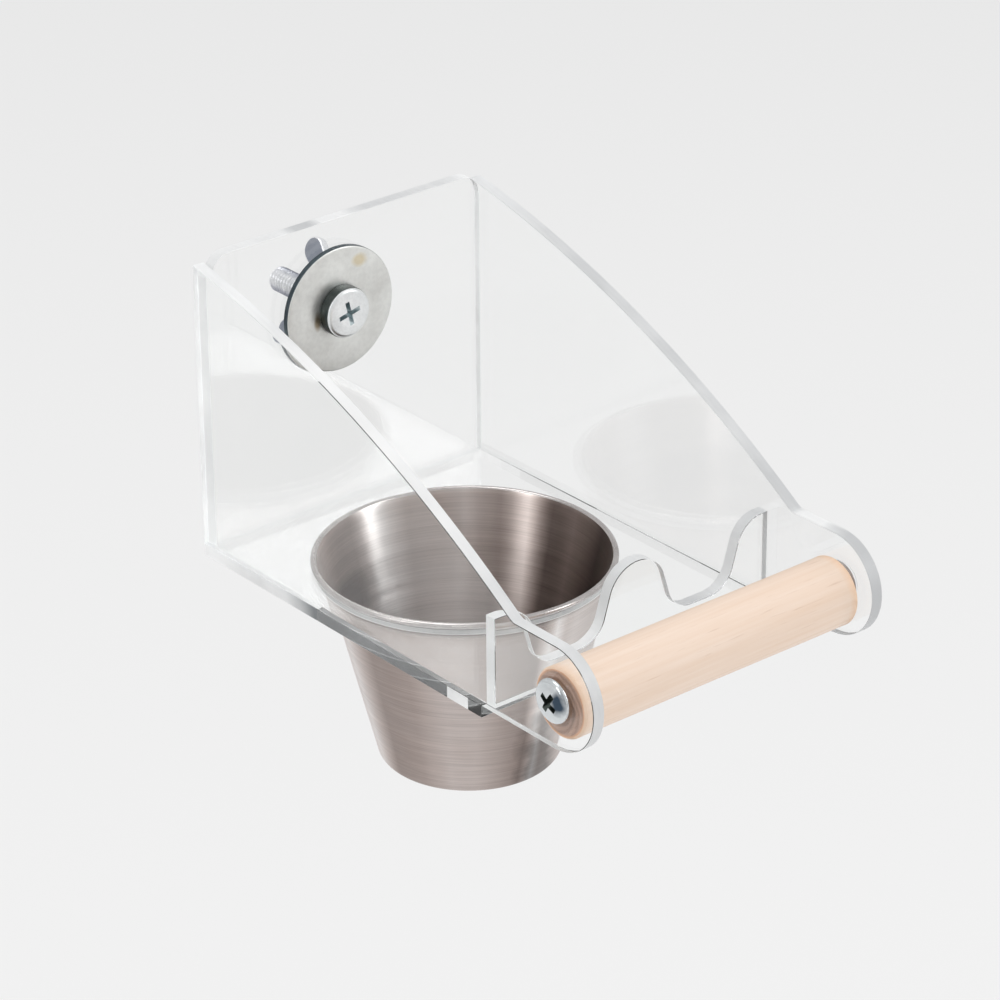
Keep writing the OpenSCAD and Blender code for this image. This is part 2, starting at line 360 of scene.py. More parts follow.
def ramp(tree, source, stops):
    node = tree.nodes.new("ShaderNodeValToRGB")
    elements = node.color_ramp.elements
    while len(elements) > 1:
        elements.remove(elements[-1])
    for index, (position, colour) in enumerate(stops):
        element = elements[0] if index == 0 else elements.new(position)
        element.position = position
        element.color = (*colour, 1) if hasattr(colour, "__len__") else (colour, colour, colour, 1)
    tree.links.new(source, node.inputs["Fac"])
    return node.outputs["Color"]


def blend(tree, mode, factor, first, second):
    node = tree.nodes.new("ShaderNodeMix")
    node.data_type = "RGBA"
    node.blend_type = mode
    give(tree, node, {0: factor, 6: first, 7: second})
    return node.outputs[2]


def bump(tree, shader, height, strength, distance):
    node = tree.nodes.new("ShaderNodeBump")
    give(tree, node, {"Height": height, "Strength": strength, "Distance": distance})
    tree.links.new(node.outputs[0], shader.inputs["Normal"])


def spotMask(tree, middle, size, noiseMask, ragged, stops):
    # The distance from the middle in units of the size, frayed by the noise and sent through the stops
    distance = lengthOf(tree, placed(tree, middle, scale=tuple(1 / s for s in size)))
    frayed = mathNode(tree, "MULTIPLY_ADD", noiseMask, ragged, -ragged / 2)
    return ramp(tree, mathNode(tree, "ADD", distance, frayed), stops)


def linear(r, g, b):
    return tuple((c / 255) / 12.92 if c < 11 else ((c / 255 + 0.055) / 1.055) ** 2.4 for c in (r, g, b))


sheetLook = {
    "faceColour": (0.996, 1.0, 0.998),
    "shadow": (0.95, 0.96, 0.96),
    "edgeColour": (0.98, 0.985, 0.985),
    # edgeGrey and edgeDark are the tones of the painted shade along the cuts
    "edgeGrey": (0.56, 0.57, 0.58),
    "edgeDark": (0.16, 0.17, 0.18),
    "edgeRoughness": 0.42,
    "edgeClear": 0.22,
    "bandSpan": 200,         # mm that the bands of a cut's tone can cover, and where zero lies in them
    "bandZero": 0.75,
}


def clearMaterial(name, colour, roughness, clear, cutGlowAndShade=None):
    # A sheet's material; the last argument, where given, whitens it as a cut with an emitted glow, painted
    # light, and tones it by bands of painted shade along an axis
    material, tree, shader = newMaterial(name)
    give(tree, shader, {"Base Color": colour, "IOR": 1.49, "Transmission Weight": clear})
    if cutGlowAndShade:
        span, zero = sheetLook["bandSpan"], sheetLook["bandZero"]
        stretches = mottling(tree, placed(tree), 55, 3, 0.65)
        streaks = mottling(tree, placed(tree, scale=(1, 0.1, 0.25)), 900, 3, 0.4)
        along = axesOf(tree, placed(tree))[cutGlowAndShade["axis"]]
        along = mathNode(tree, "MULTIPLY_ADD", along, 1 / (span * mm), zero)
        level = ramp(tree, along, tuple((zero + place / span, share) for place, share in cutGlowAndShade["bands"]))
        wander = mathNode(tree, "MULTIPLY_ADD", stretches, 0.30, -0.12)
        wander = mathNode(tree, "MULTIPLY_ADD", streaks, 0.16, wander)
        share = mathNode(tree, "ADD", level, wander)
        toned = blend(tree, "MIX", ramp(tree, share, ((0.0, 0.0), (1.0, 1.0))), colour, cutGlowAndShade["tone"])
        give(tree, shader, {"Base Color": toned, "Emission Color": toned, "Emission Strength": cutGlowAndShade["paintedGlow"]})
        sawLines = noiseNode(tree, placed(tree, scale=(1, 0.12, 0.35)), 2600, 3)
        bump(tree, shader, sawLines, 0.5, 0.00005)
    wear = mottling(tree, placed(tree), 260, 6, 0.7)
    marks = ramp(tree, wear, ((0.55, roughness), (0.95, roughness + 0.05)))
    tree.links.new(marks, shader.inputs["Roughness"])
    lightPath = tree.nodes.new("ShaderNodeLightPath")
    mix = tree.nodes.new("ShaderNodeMixShader")
    through = tree.nodes.new("ShaderNodeBsdfTransparent")
    give(tree, through, {"Color": sheetLook["shadow"]})
    give(tree, mix, {"Fac": lightPath.outputs["Is Shadow Ray"], 1: shader.outputs[0], 2: through.outputs[0]})
    give(tree, tree.nodes["Material Output"], {"Surface": mix.outputs[0]})
    return material


def cutMaterial(name, axis, bands, tone="edgeGrey", paintedGlow=0.10):
    # Each band is (place in mm, share of the tone), painted shade along the cut; the glow is emission,
    # painted light for the light that the sheet carries to its cuts
    s = sheetLook
    cutGlowAndShade = {"axis": axis, "bands": bands, "tone": s[tone], "paintedGlow": paintedGlow}
    return clearMaterial(name, s["edgeColour"], s["edgeRoughness"], s["edgeClear"], cutGlowAndShade)


clearFace = clearMaterial("clearFace", sheetLook["faceColour"], 0.0, 1.0)
# The bands along each cut are painted shade and reflection, and the glow is painted light
nearEdge = cutMaterial("nearEdge", "Y", ((-140, 0.65), (-112, 0.45), (-90, 0.0), (-40, 0.0), (-30, 0.30),
                                         (0, 0.30)))
farEdge = cutMaterial("farEdge", "Y", ((-140, 0.95), (-126, 1.0), (-120, 0.45), (-118, 0.05), (-111, 0.05),
                                       (-109, 0.60), (0, 0.60)))
backEdge = cutMaterial("backEdge", "X", ((-14, 0.15), (-10, 0.95), (-6, 0.95), (-3, 0.15), (3, 0.15),
                                         (9, 0.6), (35, 0.6), (39, 0.15)))
guardEdge = cutMaterial("guardEdge", "X", ((-34, 0.2), (-12, 0.35), (12, 0.6), (18, 1.0), (24, 0.8),
                                           (42, 0.6)))
baseEdge = cutMaterial("baseEdge", "Y", ((-86, 0.0), (-80, 0.95), (-42, 0.95), (-36, 0.45), (-30, 0.12),
                                         (0, 0.0)), "edgeDark")
holeEdge = cutMaterial("holeEdge", "Y", ((-80, 0.30), (-10, 0.30)), "edgeDark", 0)
rearEdge = cutMaterial("rearEdge", "Y", ((-10, 0.0), (0, 0.0)), "edgeGrey", 0.15)
polishedEdge = clearMaterial("polishedEdge", (0.93, 0.95, 0.95), 0.06, 1.0)
# shadedEdge is painted shade: a dark clear material on part of the base's left cut
shadedEdge = clearMaterial("shadedEdge", (0.34, 0.35, 0.36), 0.03, 1.0)

# Where two sheets are glued the joint can't be seen, so light passes straight on into the next sheet
gluedFace, tree, shader = newMaterial("gluedFace")
give(tree, shader, {"Alpha": 0})

cupLow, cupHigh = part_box("seed_cup")
cupMiddle = ((cupLow.x + cupHigh.x) / 2, (cupLow.y + cupHigh.y) / 2, 0)

# Painted reflections on the brushed steel round the cup: soft light and dark streaks in its colour, as
# (degrees about its axis, brightness)
insidePaintedReflections = ((0, 0.30), (13, 0.21), (24, 0.66), (37, 0.43), (53, 0.82), (74, 0.66), (86, 1.0), (94, 1.0),
                 (104, 0.53), (121, 0.53), (140, 1.0), (290, 0.51), (340, 0.08), (360, 0.30))
outsidePaintedReflections = ((0, 0.51), (45, 0.47), (70, 0.68), (120, 0.43), (164, 0.91), (183, 0.38), (203, 0.42),
                  (220, 0.65), (234, 0.65), (262, 0.29), (270, 1.0), (275, 0.66), (282, 0.77), (325, 0.40),
                  (345, 0.58), (360, 0.51))
cupLook = {
    "roughness": 0.36,
    "brushing": 0.35,        # strength of the fine rings
    # darkTone and brightTone follow the painted reflections: warm where they are dark, neutral where bright
    "darkTone": (1.20, 0.93, 0.83),      # warm where the steel is dark, neutral where it is bright
    "brightTone": (1.0, 0.97, 0.96),
    "insidePatch": {"middle": (-11 * mm, -18 * mm, -66 * mm), "size": (13 * mm, 13 * mm, 8 * mm),
                    "tone": (0.52, 0.50, 0.50)},
    # the outside patch is painted shade over the lower part of the painted streak at 270 degrees
    "outsidePatch": {"middle": (6.0 * mm, -67.5 * mm, -92 * mm), "size": (8 * mm, 10 * mm, 18 * mm),
                     "tone": (0.36, 0.36, 0.36)},
}


def steelMaterial(name, streaks, shades, patch):
    # The streaks are painted reflections; shades darken by (share of the cup's height, brightness), and the
    # patch is a cloudy darker place
    material, tree, shader = newMaterial(name)
    around = placed(tree, cupMiddle)
    lines = useGroup(tree, turnedLines, around, Fineness=3200.0)
    wobble = mottling(tree, placed(tree, scale=(1, 1, 0.18)), 160, 3, 0.2)
    turn = mathNode(tree, "ADD", lines.outputs["Turn"], mathNode(tree, "MULTIPLY_ADD", wobble, 0.008, -0.004))
    # painted reflections: the colour's brightness by the angle about the cup's axis
    paintedSheen = ramp(tree, turn, tuple((degrees / 360, value) for degrees, value in streaks))
    tone = blend(tree, "MIX", paintedSheen, cupLook["darkTone"], cupLook["brightTone"])
    colour = blend(tree, "MULTIPLY", 1.0, tone, paintedSheen)
    level = tree.nodes.new("ShaderNodeMapRange")
    give(tree, level, {"Value": axesOf(tree, around)["Z"], "From Min": cupLow.z, "From Max": cupHigh.z})
    for source, stops, share in ((level.outputs[0], shades, 1.0),
                                 (lines.outputs["Lines"], ((0.3, 0.80), (0.65, 1.0)), 0.9),
                                 (lines.outputs["Bands"], ((0.3, 0.84), (0.7, 1.0)), 0.9)):
        colour = blend(tree, "MULTIPLY", share, colour, ramp(tree, source, stops))
    tarnish = mottling(tree, placed(tree), 90, 5, 0.55)
    colour = blend(tree, "MULTIPLY", mathNode(tree, "MULTIPLY", tarnish, 0.35), colour, (0.80, 0.74, 0.70))
    spot = spotMask(tree, patch["middle"], patch["size"], tarnish, 0.7, ((0.4, 1.0), (1.2, 0.0)))
    colour = blend(tree, "MULTIPLY", spot, colour, patch["tone"])
    r = cupLook["roughness"]
    rough = ramp(tree, lines.outputs["Bands"], ((0.3, r - 0.05), (0.7, r + 0.10)))
    tangent = tree.nodes.new("ShaderNodeTangent")
    tangent.direction_type = "RADIAL"
    tangent.axis = "Z"
    # Turned by a quarter, the sheen spreads across the brushing
    give(tree, shader, {"Base Color": colour, "Metallic": 1, "Roughness": rough, "Anisotropic": 0.85,
                        "Anisotropic Rotation": 0.25, "Tangent": tangent.outputs[0]})
    bump(tree, shader, lines.outputs["Lines"], cupLook["brushing"], 0.00003)
    return material


cupInside = steelMaterial("cupInside", insidePaintedReflections, ((0.0, 0.75), (1.0, 1.0)), cupLook["insidePatch"])
# The outside is painted dark just under the rim: painted shade where it sits in the base plate's hole
cupOutside = steelMaterial("cupOutside", outsidePaintedReflections, ((0.0, 1.0), (0.87, 1.0), (0.90, 0.22), (1.0, 0.22)),
                           cupLook["outsidePatch"])


def platedMaterial(name, colour, patchColour, roughness, scale, axisTurn=None, darkSpots=(), turnShade=()):
    # Plated steel with cloudy patches and specks. With axisTurn, which lays its axis on Z, it has fine rings
    # too, and painted shade by (share of the turn, tone). Each of the dark spots is (middle, size, tone).
    material, tree, shader = newMaterial(name)
    patches = mottling(tree, placed(tree), scale, 5, 0.45)
    specks = mottling(tree, placed(tree), scale * 7, 3, 0.8)
    result = blend(tree, "MIX", patches, colour, patchColour)
    result = blend(tree, "MULTIPLY", mathNode(tree, "MULTIPLY", specks, 0.18), result, (0.7, 0.7, 0.7))
    for middle, size, tone in darkSpots:
        spot = spotMask(tree, middle, size, patches, 0.8, ((0.35, 1.0), (1.1, 0.0)))
        result = blend(tree, "MULTIPLY", spot, result, tone)
    height, strength = specks, 0.25
    if axisTurn:
        rings = useGroup(tree, turnedLines, placed(tree, turn=axisTurn), Fineness=2600.0)
        height = mathNode(tree, "ADD", rings.outputs["Lines"], mathNode(tree, "MULTIPLY", height, 0.4))
        strength = 0.2
        if turnShade:
            result = blend(tree, "MULTIPLY", 1.0, result, ramp(tree, rings.outputs["Turn"], turnShade))
    rough = ramp(tree, patches, ((0.2, roughness), (0.9, roughness + 0.14)))
    give(tree, shader, {"Base Color": result, "Metallic": 1, "Roughness": rough})
    bump(tree, shader, height, strength, 0.00003)
    return material


alongBolt = (math.pi / 2, 0, 0)      # turns +Y into the rings' axis
cupRim = platedMaterial("cupRim", (0.62, 0.59, 0.58), (0.46, 0.43, 0.42), 0.16, 160.0)
# The washer's first spot is a warm stain; the second, at the left of the bolt head, is a rust-brown stain and
# painted shade from the head
washerStainAndShade = (((5.6 * mm, -4.7 * mm, 10.6 * mm), (2.3 * mm, 4 * mm, 1.8 * mm), (0.90, 0.80, 0.62)),
                ((-6.6 * mm, -4.7 * mm, -1.4 * mm), (1.1 * mm, 4 * mm, 2.6 * mm), (0.50, 0.42, 0.32)))
washerZinc = platedMaterial("washerZinc", (0.86, 0.87, 0.85), (0.73, 0.73, 0.71), 0.36, 130.0, alongBolt,
                            washerStainAndShade)
# painted shade: a near-black copy of the zinc for the washer's outer edge
washerEdgeShade = platedMaterial("washerEdgeShade", (0.10, 0.125, 0.14), (0.05, 0.065, 0.075), 0.30, 300.0)
boltZinc = platedMaterial("boltZinc", (0.93, 0.945, 0.95), (0.80, 0.82, 0.83), 0.28, 260.0, alongBolt)
# painted shade: a near-black copy of the zinc for the side of the bolt's head, below its lighter face
boltSideShade = platedMaterial("boltSideShade", (0.12, 0.135, 0.13), (0.05, 0.06, 0.06), 0.26, 400.0)
# Painted shade round the bolt's thread, by (share of the turn, tone): darker along its upper edge and its
# lower side
threadShade = ((0.34, (0.30, 0.31, 0.35)), (0.42, (0.45, 0.46, 0.52)), (0.52, 1.0), (0.68, 1.0),
               (0.77, (0.62, 0.63, 0.68)), (0.82, (0.22, 0.23, 0.28)), (0.90, (0.30, 0.31, 0.35)))
threadZinc = platedMaterial("threadZinc", (0.98, 0.98, 1.0), (0.82, 0.83, 0.86), 0.26, 500.0, alongBolt,
                            turnShade=threadShade)
wingZinc = platedMaterial("wingZinc", (0.98, 0.98, 1.0), (0.84, 0.86, 0.88), 0.24, 180.0)
# painted shade: a darker copy of the zinc for the flats of the wings
wingFlatShade = platedMaterial("wingFlatShade", (0.36, 0.39, 0.46), (0.26, 0.28, 0.33), 0.24, 180.0)
screwChrome = platedMaterial("screwChrome", (0.74, 0.77, 0.78), (0.62, 0.66, 0.68), 0.14, 300.0)
# painted light: the right screw's underside is much lighter than its head, against the shade it sits in
screwUnderLit = platedMaterial("screwUnderLit", (0.97, 0.98, 1.0), (0.86, 0.88, 0.90), 0.60, 300.0)
# A near-black patch on the front of the left screw's head
leftDarkPatch = (((-39 * mm, -126 * mm, -36.9 * mm), (5 * mm, 2.5 * mm, 3.6 * mm), (0.07, 0.10, 0.14)),)
leftChrome = platedMaterial("leftChrome", (0.78, 0.80, 0.81), (0.66, 0.70, 0.72), 0.14, 300.0,
                            darkSpots=leftDarkPatch)
# painted shade: the perch screws' recesses are near black
recessShade = platedMaterial("recessShade", (0.045, 0.06, 0.055), (0.10, 0.115, 0.105), 0.42, 900.0)
recessZinc = platedMaterial("recessZinc", (0.70, 0.78, 0.80), (0.38, 0.45, 0.47), 0.30, 900.0)

woodLook = {
    "light": linear(242, 222, 206),
    "deep": linear(228, 198, 172),
    "fleck": linear(196, 160, 132),
    "endLight": linear(202, 164, 142),
    "endDark": linear(160, 120, 100),
    "endRing": linear(236, 176, 128),
    "glow": linear(232, 184, 138),        # the warmer tone by the two ends
}


def makeWood():
    low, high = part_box("perch")
    middle = (0, (low.y + high.y) / 2, (low.z + high.z) / 2)
    sideWood, tree, shader = newMaterial("birchSide")
    fibres = noiseNode(tree, placed(tree, middle, scale=(0.03, 1, 1)), 900, 6)
    figure = noiseNode(tree, placed(tree, middle, scale=(0.12, 1, 1)), 120, 3)
    pores = noiseNode(tree, placed(tree, middle, scale=(0.035, 1, 1)), 2600, 2)
    colour = woodLook["light"]
    for source, stops, tone in ((fibres, ((0.30, 0.0), (0.75, 0.55)), "deep"),
                                (figure, ((0.45, 0.0), (0.80, 0.45)), "deep"),
                                (pores, ((0.66, 0.0), (0.76, 0.35)), "fleck")):
        colour = blend(tree, "MIX", ramp(tree, source, stops), colour, woodLook[tone])
    along = axesOf(tree, placed(tree, ((low.x + high.x) / 2, 0, 0)))["X"]
    fromMiddle = mathNode(tree, "DIVIDE", mathNode(tree, "ABSOLUTE", along), (high.x - low.x) / 2)
    colour = blend(tree, "MIX", ramp(tree, fromMiddle, ((0.93, 0.0), (1.0, 0.55))), colour, woodLook["glow"])
    rough = ramp(tree, fibres, ((0.3, 0.62), (0.7, 0.50)))
    give(tree, shader, {"Base Color": colour, "Roughness": rough})
    bump(tree, shader, fibres, 0.35, 0.00006)

    endWood, tree, shader = newMaterial("birchEnd")
    rings = tree.nodes.new("ShaderNodeTexWave")
    rings.wave_type, rings.rings_direction = "RINGS", "X"
    offCentre = (0, middle[1] + 1.2 * mm, middle[2] - 1.5 * mm)
    give(tree, rings, {"Vector": placed(tree, offCentre), "Scale": 210, "Distortion": 3.5, "Detail": 3,
                       "Detail Scale": 1.5})
    speckle = mottling(tree, placed(tree), 2200, 3, 0.6)
    colour = blend(tree, "MIX", ramp(tree, rings.outputs["Fac"], ((0.2, 0.15), (0.9, 0.8))),
                   woodLook["endLight"], woodLook["endDark"])
    colour = blend(tree, "MULTIPLY", mathNode(tree, "MULTIPLY", speckle, 0.5), colour, (0.72, 0.64, 0.56))
    fromAxis = lengthOf(tree, placed(tree, middle, scale=(0, 1, 1)))
    outward = mathNode(tree, "MULTIPLY", fromAxis, 2 / (high.z - low.z))
    colour = blend(tree, "MIX", ramp(tree, outward, ((0.86, 0.0), (0.93, 0.85))), colour, woodLook["endRing"])
    give(tree, shader, {"Base Color": colour, "Roughness": 0.8})
    bump(tree, shader, speckle, 0.5, 0.0001)
    return sideWood, endWood


sideWood, endWood = makeWood()
print("materials made")


# Housing sheets

sheet = {
    "thickness": 3.0 * mm,
    "edge": 0.12 * mm,       # small chamfer along every cut edge
    "jointGap": 0.03 * mm,   # film of glue at the guard's ends; the other glued sides sink in by the chamfer
}
baseLow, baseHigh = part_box("base_plate")
backLow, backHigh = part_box("back_plate")
footZ = baseHigh.z
baseDepth = -baseLow.y
inLeft, inRight = baseLow.x + sheet["thickness"], baseHigh.x - sheet["thickness"]

# Places where a foot's glue can't be seen, as lowest and highest corners; the left foot shows behind its end
leftGlueEnd = -42 * mm
gluedBoxes = (((baseLow.x, baseLow.y, footZ), (inLeft, leftGlueEnd, footZ)),
              ((inRight, baseLow.y, footZ), (baseHigh.x, 0, footZ)),
              ((inLeft, backLow.y, footZ), (inRight, 0, footZ)))

# Material slots that every sheet has
faceSlot, cutSlot, polishedSlot, gluedSlot, holeSlot, rearSlot, shadedSlot = range(7)


def splitAt(bm, axis, value):
    normal = [0, 0, 0]
    normal[axis] = 1
    bmesh.ops.bisect_plane(bm, geom=bm.verts[:] + bm.edges[:] + bm.faces[:], dist=1e-7,
                           plane_co=[value * n for n in normal], plane_no=normal)


def markGlued(bm):
    # Splits the mesh along the borders of each glued place, and gives what lies in it the glued material
    low = [min(v.co[k] for v in bm.verts) for k in range(3)]
    high = [max(v.co[k] for v in bm.verts) for k in range(3)]
    reach = 0.16 * mm
    for first, last in gluedBoxes:
        if any(first[k] > high[k] + reach or last[k] < low[k] - reach for k in range(3)):
            continue
        for k in range(3):
            for value in {first[k], last[k]}:
                if first[k] != last[k] and low[k] + reach < value < high[k] - reach:
                    splitAt(bm, k, value)
        room = [reach if first[k] == last[k] else 0 for k in range(3)]
        for face in bm.faces:
            middle = face.calc_center_median()
            if all(first[k] - room[k] < middle[k] < last[k] + room[k] for k in range(3)):
                face.material_index = gluedSlot


def addSheet(node, name, cut, outline, holes, place, pickSlot, breaks=()):
    # A flat sheet with chamfered cuts; pickSlot gives the slot of each face of the cuts from its centre and
    # whether it is a chamfer, and breaks are the places along Y where that changes
    edge = sheet["edge"]
    curve = bpy.data.curves.new(name, "CURVE")
    curve.dimensions = "2D"
    curve.fill_mode = "BOTH"
    curve.extrude = sheet["thickness"] / 2 - edge
    curve.bevel_depth = edge
    curve.bevel_resolution = 0
    curve.offset = -edge
    for ring in [outline] + holes:
        spline = curve.splines.new("POLY")
        spline.points.add(len(ring) - 1)
        for point, (x, y) in zip(spline.points, ring):
            point.co = (x, y, 0, 1)
        spline.use_cyclic_u = True
    made = shapeOf(addObject(name + "Curve", curve))
    bm = bmesh.new()
    bm.from_mesh(made)
    bpy.data.meshes.remove(made)
    bmesh.ops.remove_doubles(bm, verts=bm.verts, dist=1e-7)
    bmesh.ops.recalc_face_normals(bm, faces=bm.faces)
    chamfers = polishedSlot      # kept there until pickSlot has its say
    for face in bm.faces:
        tilt = abs(face.normal.z)
        face.material_index = faceSlot if tilt > 0.9 else (cutSlot if tilt < 0.3 else chamfers)
    bm.transform(place)
    for y in breaks:
        splitAt(bm, 1, y)
    for face in bm.faces:
        if face.material_index != faceSlot:
            face.material_index = pickSlot(face.calc_center_median(), face.material_index == chamfers)
    markGlued(bm)
    mesh = finishMesh(bm, name, 20, clearFace, cut, polishedEdge, gluedFace, holeEdge, rearEdge, shadedEdge)
    addPiece(name, mesh, "housing", node)


side = {
    "rearHeight": 68.5 * mm,
    "frontHeight": 24.5 * mm,
    "frontReach": 9.5 * mm,
    "radius": 297 * mm,
    "slope": 1 * mm,
    "lobe": 12 * mm,
    "lobeReach": 24 * mm,
    "screwHole": 2.1 * mm,
    "screwHeight": 11.5 * mm,
    "polishedFrom": -45 * mm,      # the left panel's chamfers are polished in front of this
    "rearCut": -0.2 * mm,
}


def sideOutline():
    s = side
    start = Vector((0, s["rearHeight"]))
    end = Vector((baseDepth + s["frontReach"], s["frontHeight"]))
    chord = (end - start).length
    along = (end - start) / chord
    centre = (start + end) / 2 - Vector((-along.y, along.x)) * math.sqrt(s["radius"] ** 2 - chord ** 2 / 4)
    first = math.degrees(math.atan2(start.y - centre.y, start.x - centre.x))
    last = math.degrees(math.atan2(end.y - centre.y, end.x - centre.x))
    gap = -sheet["edge"]
    points = [(0, gap)] + arc(centre.x, centre.y, s["radius"], first, last, 140)
    points.append((end.x + s["slope"], 2 * s["lobe"]))
    points += arc(baseDepth + s["lobeReach"], s["lobe"], s["lobe"], 90, -90, 72)[:-1]
    points.append((baseDepth + s["lobeReach"], gap))
    return points


def makeSides():
    outline = sideOutline()
    hole = arc(baseDepth + side["lobeReach"], side["screwHeight"], side["screwHole"], 0, 360, 48)[:-1]
    toSide = Matrix(((0, 0, 1), (-1, 0, 0), (0, 1, 0))).to_4x4()
    for node, x, cut in (("left_side_panel", baseLow.x, nearEdge), ("right_side_panel", inRight, farEdge)):
        def pickSlot(c, chamfer, near=cut is nearEdge):
            if c.y > side["rearCut"]:
                return rearSlot
            return polishedSlot if near and chamfer and c.y < side["polishedFrom"] else cutSlot

        place = Matrix.Translation((x + sheet["thickness"] / 2, 0, footZ)) @ toSide
        addSheet(node, node + "Clear", cut, outline, [hole], place, pickSlot, (side["polishedFrom"],))


base = {
    "holeR": 33.4 * mm,
    "holeReach": 33.6 * mm,      # cuts nearer than this to the hole's middle are the hole's
    "border": 1 * mm,            # faces nearer than this to a side are that side's
    "chipFrom": -94.5 * mm,      # the left cut is whitened between these two
    "chipTo": -87.5 * mm,
    "shadedTo": -42 * mm,        # dark from the chip to here, and whitened again behind
}


def makeBase():
    low, high = baseLow, baseHigh
    outline = [(low.x, low.y), (high.x, low.y), (high.x, high.y), (low.x, high.y)]
    hole = arc(cupMiddle[0], cupMiddle[1], base["holeR"], 0, 360, 256)[:-1]
    place = Matrix.Translation((0, 0, (low.z + high.z) / 2))

    def pickSlot(c, chamfer):
        shaded = base["chipTo"] < c.y < base["shadedTo"]
        if math.hypot(c.x - cupMiddle[0], c.y - cupMiddle[1]) < base["holeReach"]:
            return rearSlot if chamfer else holeSlot
        if c.x > high.x - base["border"] and chamfer:
            return cutSlot
        if c.x > low.x + base["border"] or c.y < base["chipFrom"]:
            return polishedSlot
        if shaded:
            return polishedSlot if chamfer else shadedSlot
        return cutSlot

    breaks = (base["chipFrom"], base["chipTo"], base["shadedTo"])
    addSheet("base_plate", "basePlateClear", baseEdge, outline, [hole], place, pickSlot, breaks)


back = {
    "corner": 4.5 * mm,
    "holeR": 3.3 * mm,
    "end": 0.2 * mm,      # faces nearer than this to an end are whitened like the rear cuts
}


def makeBack():
    low, high = backLow, backHigh
    sunk, r = sheet["edge"], back["corner"]
    left, right = low.x - sunk, high.x + sunk
    turnZ = high.z - r
    outline = [(left, low.z - sunk), (right, low.z - sunk), (right, turnZ)]
    outline += arc(high.x - r, turnZ, r, 0, 90, 12) + arc(low.x + r, turnZ, r, 90, 180, 12) + [(left, turnZ)]
    hole = arc(0, 0, back["holeR"], 0, 360, 64)[:-1]
    place = standing(0, (low.y + high.y) / 2, 0)

    def pickSlot(c, chamfer):
        return cutSlot if low.x + back["end"] < c.x < high.x - back["end"] else rearSlot

    addSheet("back_plate", "backPlateClear", backEdge, outline, [hole], place, pickSlot)


guard = {
    "domeHeight": 21.75 * mm,
    "endHeight": 21.25 * mm,
    "floorHeight": 6 * mm,
    "floorWidth": 5.4 * mm,
    "scoopX": 18.5 * mm,
    "lean": 17,
    "fillet": 6.75 * mm,
    "endRadius": 7 * mm,
}


def guardOutline():
    g = guard
    lean = math.radians(g["lean"])
    footX = g["floorWidth"] / 2 + g["fillet"] * math.cos(lean)
    footY = g["floorHeight"] + g["fillet"] * (1 - math.sin(lean))
    endY = g["endHeight"] - g["endRadius"]
    endX = footX + (g["endRadius"] + (endY - footY) * math.sin(lean)) / math.cos(lean)
    domeR = (((g["scoopX"] - footX) * math.cos(lean) - (g["domeHeight"] - footY) * math.sin(lean))
             / (1 - math.sin(lean)))
    filletY = g["floorHeight"] + g["fillet"]
    half = arc(0, g["domeHeight"] - domeR, domeR, 90, g["lean"], 32)
    half += arc(g["scoopX"] - g["floorWidth"] / 2, filletY, g["fillet"], 180 + g["lean"], 270, 20)
    half += arc(g["scoopX"] + g["floorWidth"] / 2, filletY, g["fillet"], 270, 360 - g["lean"], 20)
    half += arc(g["scoopX"] + endX, endY, g["endRadius"], 180 - g["lean"], 90, 20)
    endWidth = (inRight - inLeft) / 2 - sheet["jointGap"]
    half = [p for p in half if p[0] < endWidth] + [(endWidth, g["endHeight"]), (endWidth, 0)]
    return half + [(-x, y) for x, y in reversed(half[1:])]


def makeGuard():
    low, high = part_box("front_guard")
    place = standing((inLeft + inRight) / 2, (low.y + high.y) / 2, footZ)

    def pickSlot(c, chamfer):
        return polishedSlot if chamfer else cutSlot

    addSheet("front_guard", "frontGuardClear", guardEdge, guardOutline(), [], place, pickSlot)


makeSides()
makeBase()
makeBack()
makeGuard()
print("clear housing made")


# Seed cup

cup = {
    "rimR": 34.125 * mm,
    "beadR": 0.75 * mm,
    "beadSteps": 26,
    "neckR": 33.1 * mm,
    "neckZ": -48.9 * mm,
    "baseR": 20.8 * mm,
    "edgeR": 2.5 * mm,
    "steel": 0.6 * mm,
    "ringIn": 15.4 * mm,         # the bottom steps up between these two radii
    "ringOut": 16.4 * mm,
    "baseLift": 0.5 * mm,
    "wallSteps": 24,
    "steps": 256,
}


def wallRows(start, end, steps):
    shares = [i / steps for i in range(1, steps + 1)]
    return [(start[0] + (end[0] - start[0]) * s, start[1] + (end[1] - start[1]) * s) for s in shares]


